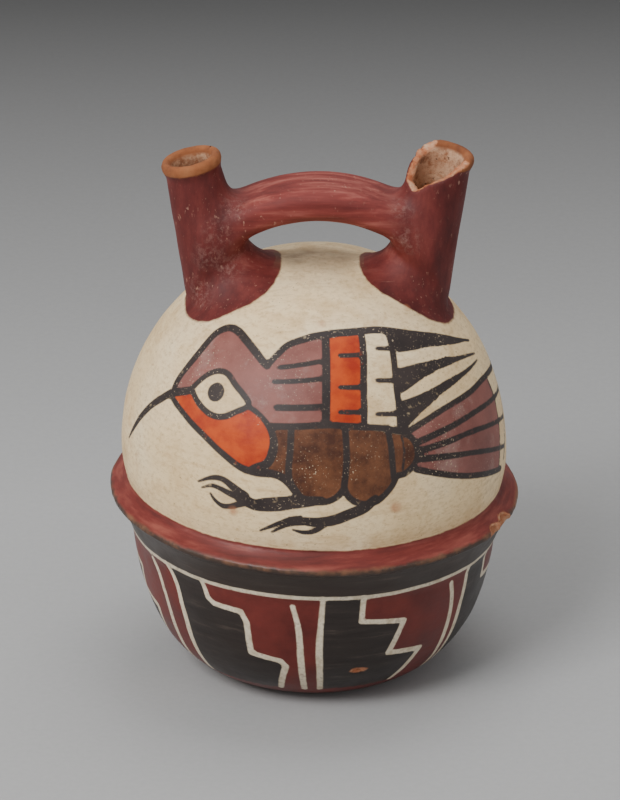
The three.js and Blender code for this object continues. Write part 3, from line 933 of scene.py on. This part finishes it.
# Tones of the paints and the clay, out of 255, each with the noise value where it stands
CREAM = [(0.3, (230, 198, 148)), (0.5, (244, 216, 168)), (0.72, (249, 227, 186))]
PLUM = [(0.3, (120, 70, 63)), (0.7, (152, 98, 89))]
ORANGE = [(0.35, (160, 40, 6)), (0.65, (198, 74, 14))]
BROWN = [(0.35, (70, 38, 24)), (0.62, (114, 70, 44))]
INK = [(0.3, (42, 34, 33)), (0.7, (60, 50, 47))]
LEDGE_RED = [(0.3, (88, 33, 29)), (0.5, (116, 45, 39)), (0.72, (150, 78, 66))]
BOWL_BLACK = [(0.3, (38, 30, 27)), (0.6, (48, 40, 36)), (0.8, (84, 72, 64))]
MAROON = [(0.3, (84, 29, 24)), (0.7, (112, 43, 36))]
LINE_WHITE = [(0.3, (190, 172, 144)), (0.6, (232, 218, 192))]
BRIDGE_SLIP = [(0.3, (98, 34, 31)), (0.5, (128, 52, 46)), (0.72, (168, 96, 84))]
SPOUT_SLIP = [(0.3, (74, 23, 22)), (0.5, (96, 34, 31)), (0.72, (118, 50, 44))]
TAN_CLAY = [(0.3, (104, 58, 36)), (0.5, (146, 88, 54)), (0.75, (172, 116, 78))]
FRESH_CLAY = [(0.36, (164, 94, 60)), (0.52, (188, 130, 96)), (0.68, (198, 166, 136))]

# Single tones of dirt and wear, and of the grime with painted shade under the bridge
STREAK_DIRT = (202, 168, 122)
CLOUD_DIRT = (208, 172, 122)
GRAIN_DIRT = (188, 152, 104)
SCRATCH_DIRT = (184, 148, 100)
DOT_DIRT = (128, 102, 76)
PLUM_DUST = (166, 140, 130)
BAND_BROWN = (92, 74, 62)
SLIP_SCRATCH = (184, 136, 118)
SLIP_SCUFF = (186, 150, 138)
SLIP_NICK = (196, 150, 128)
PAINT_SPECK = (214, 192, 160)
TAN_DIRT = (98, 64, 46)
CRUST = (206, 166, 134)
CRUST_SPOT = (84, 56, 42)
WORN_EDGE = (158, 106, 74)
GRIME_AND_SHADE = (118, 94, 70)
STAIN = (178, 112, 74)


def linear(red, green, blue):
    tone = np.array([red, green, blue]) / 255
    light = np.where(tone <= 0.04045, tone / 12.92, ((tone + 0.055) / 1.055) ** 2.4)
    return (*light.tolist(), 1.0)


class Shader:
    """Small helpers round one material's nodes."""

    def __init__(self, name):
        self.material = bpy.data.materials.new(name)
        self.material.use_nodes = True
        self.tree = self.material.node_tree
        self.nodes = self.tree.nodes
        self.surface = next(node for node in self.nodes if node.type == "BSDF_PRINCIPLED")
        self.place = self.nodes.new("ShaderNodeTexCoord").outputs["Object"]

    def link(self, value, socket):
        if isinstance(value, bpy.types.NodeSocket):
            self.tree.links.new(value, socket)
        else:
            socket.default_value = value

    def math(self, operation, *values):
        node = self.nodes.new("ShaderNodeMath")
        node.operation = operation
        for value, socket in zip(values, node.inputs):
            self.link(value, socket)
        return node.outputs[0]

    def times(self, first, *others):
        for other in others:
            first = self.math("MULTIPLY", first, other)
        return first

    def attribute(self, name):
        node = self.nodes.new("ShaderNodeAttribute")
        node.attribute_name = name
        return node.outputs["Fac"]

    def noise(self, scale, detail, roughness, stretch=(1, 1, 1)):
        place = self.nodes.new("ShaderNodeMapping")
        place.inputs["Scale"].default_value = stretch
        self.link(self.place, place.inputs["Vector"])
        node = self.nodes.new("ShaderNodeTexNoise")
        node.inputs["Scale"].default_value = scale
        node.inputs["Detail"].default_value = detail
        node.inputs["Roughness"].default_value = roughness
        self.link(place.outputs[0], node.inputs["Vector"])
        return node.outputs["Fac"]

    def ramp(self, value, low, high, start=0.0, end=1.0):
        node = self.nodes.new("ShaderNodeMapRange")
        for setting, socket in zip((value, low, high, start, end), node.inputs):
            self.link(setting, socket)
        return node.outputs[0]

    def mix(self, share, under, over):
        """One colour over another. The upper one may also be a tone out of 255."""
        node = self.nodes.new("ShaderNodeMix")
        node.data_type = "RGBA"
        self.link(share, node.inputs["Factor"])
        self.link(under, node.inputs[6])
        self.link(linear(*over) if isinstance(over, tuple) else over, node.inputs[7])
        return node.outputs[2]

    def wear(self, under, pattern, low, high, share, over):
        """A colour with a share of another tone where a pattern is high."""
        return self.mix(self.ramp(pattern, low, high, 0, share), under, over)

    def tones(self, value, stops):
        node = self.nodes.new("ShaderNodeValToRGB")
        ramp = node.color_ramp
        while len(ramp.elements) < len(stops):
            ramp.elements.new(0.5)
        for element, (place, tone) in zip(ramp.elements, stops):
            element.position = place
            element.color = linear(*tone)
        self.link(value, node.inputs[0])
        return node.outputs[0]


class ClayShader(Shader):
    """The clay's material, with the noise that its paints share."""

    def __init__(self, name):
        super().__init__(name)
        self.fine = self.noise(420, 4, 0.6)
        self.brush = self.math("SUBTRACT", self.noise(330, 2, 0.5), 0.5)
        self.middle = self.noise(90, 5, 0.6)
        self.level_streaks = self.noise(60, 5, 0.6, (1, 1, 9))
        self.scratches = self.noise(120, 6, 0.7, (0.4, 5, 5))
        self.grain = self.noise(560, 5, 0.7, (1, 1, 1.8))

    def mask(self, name, wobble=0.25, soft=0.18):
        """1 inside a painted layer and 0 outside, with a hand-painted edge."""
        shaken = self.math("ADD", self.attribute(name), self.times(self.brush, wobble))
        return self.ramp(shaken, -soft, soft)


def cream_paint(s):
    cream = s.tones(s.noise(28, 4, 0.55), CREAM)
    cream = s.wear(cream, s.level_streaks, 0.5, 0.72, 0.4, STREAK_DIRT)
    cream = s.wear(cream, s.middle, 0.52, 0.7, 0.6, CLOUD_DIRT)
    cream = s.wear(cream, s.grain, 0.48, 0.7, 0.55, GRAIN_DIRT)
    cream = s.wear(cream, s.scratches, 0.56, 0.68, 0.4, SCRATCH_DIRT)
    return s.wear(cream, s.noise(1400, 1, 0.5), 0.72, 0.76, 0.55, DOT_DIRT)


def dome_colour(s):
    """The cream dome with its painted figures."""
    cream = cream_paint(s)
    plum = s.wear(s.tones(s.middle, PLUM), s.noise(110, 5, 0.65), 0.54, 0.72, 0.5, PLUM_DUST)
    orange = s.tones(s.noise(160, 4, 0.6), ORANGE)
    brown = s.tones(s.noise(140, 5, 0.7), BROWN)
    colour = cream
    for name, fill in (("plum", plum), ("orange", orange), ("brown", brown), ("over", cream)):
        colour = s.mix(s.mask(name), colour, fill)
    worn_ink = s.times(s.mask("ink", 0.3), s.ramp(s.fine, 0.74, 0.62, 0.6, 1.0))
    return s.mix(worn_ink, colour, s.tones(s.middle, INK))


def add_bowl_paint(s, colour):
    """The red ledge, the dark band under it and the bowl's stepped pattern."""
    black = s.tones(s.level_streaks, BOWL_BLACK)
    colour = s.mix(s.mask("below", 0.5, 0.25), colour, s.tones(s.level_streaks, LEDGE_RED))
    colour = s.mix(s.mask("band", 1.2, 0.35), colour, s.mix(0.15, black, BAND_BROWN))
    colour = s.mix(s.mask("bowl", 0.2), colour, s.tones(s.middle, MAROON))
    colour = s.mix(s.mask("bowl_black", 0.2), colour, black)
    line = s.times(s.mask("bowl_line", 0.35), s.ramp(s.fine, 0.7, 0.56, 0.5, 1.0))
    return s.mix(line, colour, s.tones(s.fine, LINE_WHITE))


def spout_slip(s):
    """Red slip, brushed along the bridge and up the spouts, and scuffed where they meet."""
    along = s.tones(s.noise(60, 5, 0.6, (0.6, 6, 6)), BRIDGE_SLIP)
    upright = s.tones(s.noise(90, 5, 0.65, (1.8, 1.8, 0.7)), SPOUT_SLIP)
    slip = s.mix(s.ramp(s.attribute("strap"), -5.0, 5.0), upright, along)
    slip = s.wear(slip, s.scratches, 0.66, 0.78, 0.5, SLIP_SCRATCH)
    flecks = s.ramp(s.noise(620, 5, 0.8), 0.47, 0.66)
    return s.mix(s.times(s.ramp(s.attribute("scuff"), 0.0, 5.0), flecks, 0.36), slip, SLIP_SCUFF)


def add_specks(s, colour, is_slip):
    """Pale specks where dark paint or slip has come off."""
    patches = s.ramp(s.noise(55, 4, 0.6), 0.44, 0.62, 0.1, 1.0)
    specks = s.ramp(s.noise(1900, 1, 0.5), 0.67, 0.71)
    is_dark = s.math("MAXIMUM", s.mask("brown"), s.math("MAXIMUM", s.mask("ink"), s.mask("plum")))
    colour = s.mix(s.times(specks, patches, is_dark, 0.7), colour, PAINT_SPECK)
    nicks = s.ramp(s.noise(620, 3, 0.6, (1.7, 1.7, 0.7)), 0.635, 0.68)
    return s.mix(s.times(nicks, patches, is_slip, 0.5), colour, SLIP_NICK)


def bare_clay(s):
    """Tan clay, with a pale crust and dark spots on the inside."""
    tan = s.wear(s.tones(s.middle, TAN_CLAY), s.noise(300, 5, 0.7), 0.56, 0.7, 0.5, TAN_DIRT)
    inner = s.ramp(s.attribute("inner"), 0.0, 1.0)
    tan = s.mix(s.times(inner, s.ramp(s.noise(260, 5, 0.75), 0.4, 0.56, 0.15, 0.9)), tan, CRUST)
    return s.mix(s.times(inner, s.ramp(s.noise(720, 3, 0.7), 0.62, 0.68)), tan, CRUST_SPOT)


def add_wear(s, colour, bare):
    """The ledge's worn edge, bare and fresh clay, grime with painted shade under the bridge, and stains."""
    worn = s.times(s.mask("edge", 1.2, 0.6), s.ramp(s.middle, 0.44, 0.6, 0.1, 1.0), 0.6)
    colour = s.mix(worn, colour, WORN_EDGE)
    colour = s.mix(bare, colour, bare_clay(s))
    colour = s.mix(s.mask("fresh", 0.2, 0.2), colour, s.tones(s.noise(230, 4, 0.65), FRESH_CLAY))
    # grime with painted shade: a darker patch on the dome's top under the bridge
    grime_and_shade_patches = s.ramp(s.noise(75, 5, 0.65, (0.8, 1.2, 1.2)), 0.3, 0.66, 0.3, 1.0)
    colour = s.mix(s.times(s.ramp(s.attribute("grime_and_shade"), -0.5, 2.5), grime_and_shade_patches, 0.9), colour, GRIME_AND_SHADE)
    stain = s.times(s.ramp(s.attribute("stain"), -0.3, 1.0), s.ramp(s.fine, 0.3, 0.6, 0.4, 1.0), 0.7)
    return s.mix(stain, colour, STAIN)


def set_gloss(s, is_slip, bare):
    """Burnished paint, a little duller slip and dull bare clay."""
    dull = s.math("ADD", s.ramp(s.middle, 0.35, 0.7, 0.44, 0.6), s.times(is_slip, 0.1))
    dull = s.math("SUBTRACT", dull, s.times(s.mask("band"), 0.12))
    s.link(s.math("ADD", dull, s.times(bare, 0.35)), s.surface.inputs["Roughness"])
    s.surface.inputs["Specular IOR Level"].default_value = 0.35


def set_relief(s, bare):
    relief = s.math("ADD", s.times(s.fine, 0.5), s.times(s.level_streaks, 0.6))
    relief = s.math("ADD", relief, s.times(s.grain, bare, 2.5))
    bump = s.nodes.new("ShaderNodeBump")
    bump.inputs["Strength"].default_value = 0.35
    bump.inputs["Distance"].default_value = 0.0003
    s.link(relief, bump.inputs["Height"])
    s.link(bump.outputs[0], s.surface.inputs["Normal"])


def painted_clay():
    s = ClayShader("painted_clay")
    is_slip = s.mask("slip", 0.9, 0.3)
    bare = s.mask("bare", 0.5, 0.25)
    colour = add_bowl_paint(s, dome_colour(s))
    colour = s.mix(is_slip, colour, spout_slip(s))
    colour = add_specks(s, colour, is_slip)
    colour = add_wear(s, colour, bare)
    s.link(colour, s.surface.inputs["Base Color"])
    set_gloss(s, is_slip, bare)
    set_relief(s, bare)
    return s.material


def floor_paper():
    """Grey paper, with painted shade that darkens it towards the back."""
    s = Shader("floor_paper")
    depth = s.nodes.new("ShaderNodeSeparateXYZ")
    s.link(s.place, depth.inputs[0])
    # painted shade: the floor is darker towards the back
    shade = s.ramp(depth.outputs["Y"], 0.1, 0.62, 0.4, 0.03)
    shade = s.times(shade, s.ramp(s.noise(450, 3, 0.7), 0.3, 0.7, 0.97, 1.03))
    tone = s.nodes.new("ShaderNodeCombineColor")
    for name in ("Red", "Green", "Blue"):
        s.link(shade, tone.inputs[name])
    s.link(tone.outputs[0], s.surface.inputs["Base Color"])
    s.surface.inputs["Roughness"].default_value = 0.95
    return s.material


# The studio, in metres

FLOOR_HALF = 4.0
LIGHT_TARGET = (0, 0, 0.08)
# Name, place, size, watts and tone
LIGHTS = [
    ("key", (-1.0, -1.25, 1.6), 0.9, 38, (1, 1, 1)),
    ("top", (0.2, 0.5, 2.0), 1.2, 14, (1, 1, 1)),
    ("fill", (1.4, -1.2, 0.9), 1.2, 4, (1, 1, 1)),
    ("side", (-1.6, -0.5, 0.7), 1.0, 6, (1, 0.96, 0.9)),
]
SKY_STRENGTH = 0.42
CAMERA_PLACE = (-0.0012, -1.548, 0.785)
CAMERA_TILT = 65.6
CAMERA_LENS = 255.8
SENSOR_WIDTH = 36


def add_floor():
    corners = [(x * FLOOR_HALF, y * FLOOR_HALF, 0) for x, y in ((-1, -1), (1, -1), (1, 1), (-1, 1))]
    mesh = bpy.data.meshes.new("floor")
    mesh.from_pydata(corners, [], [(0, 1, 2, 3)])
    mesh.materials.append(floor_paper())
    floor = bpy.data.objects.new("floor", mesh)
    bpy.context.scene.collection.objects.link(floor)


def add_light(name, place, size, watts, tone):
    light = bpy.data.lights.new(name, "AREA")
    light.shape = "SQUARE"
    light.size = size
    light.energy = watts
    light.color = tone
    item = bpy.data.objects.new(name, light)
    x, y, z = (b - a for a, b in zip(place, LIGHT_TARGET))
    item.location = place
    item.rotation_euler = (math.atan2(math.hypot(x, y), -z), 0, math.atan2(-x, y))
    bpy.context.scene.collection.objects.link(item)


def add_camera():
    camera = bpy.data.cameras.new("camera")
    camera.lens = CAMERA_LENS
    camera.sensor_width = SENSOR_WIDTH
    camera.clip_end = 20
    item = bpy.data.objects.new("camera", camera)
    item.location = CAMERA_PLACE
    item.rotation_euler = (math.radians(CAMERA_TILT), 0, 0)
    bpy.context.scene.collection.objects.link(item)
    bpy.context.scene.camera = item


def add_world():
    world = bpy.data.worlds.new("studio")
    world.use_nodes = True
    sky = world.node_tree.nodes["Background"]
    sky.inputs["Color"].default_value = (1, 1, 1, 1)
    sky.inputs["Strength"].default_value = SKY_STRENGTH
    bpy.context.scene.world = world


vessel, surface_points = make_vessel()
add_layers(vessel.data, paint(surface_points))
vessel.data.materials.clear()
vessel.data.materials.append(painted_clay())
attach(vessel, "root")
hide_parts("bowl", "ledge", "dome", "whole_spout", "bridge", "broken_spout")

add_camera()
add_floor()
add_world()
for light in LIGHTS:
    add_light(*light)

bpy.context.view_layer.update()
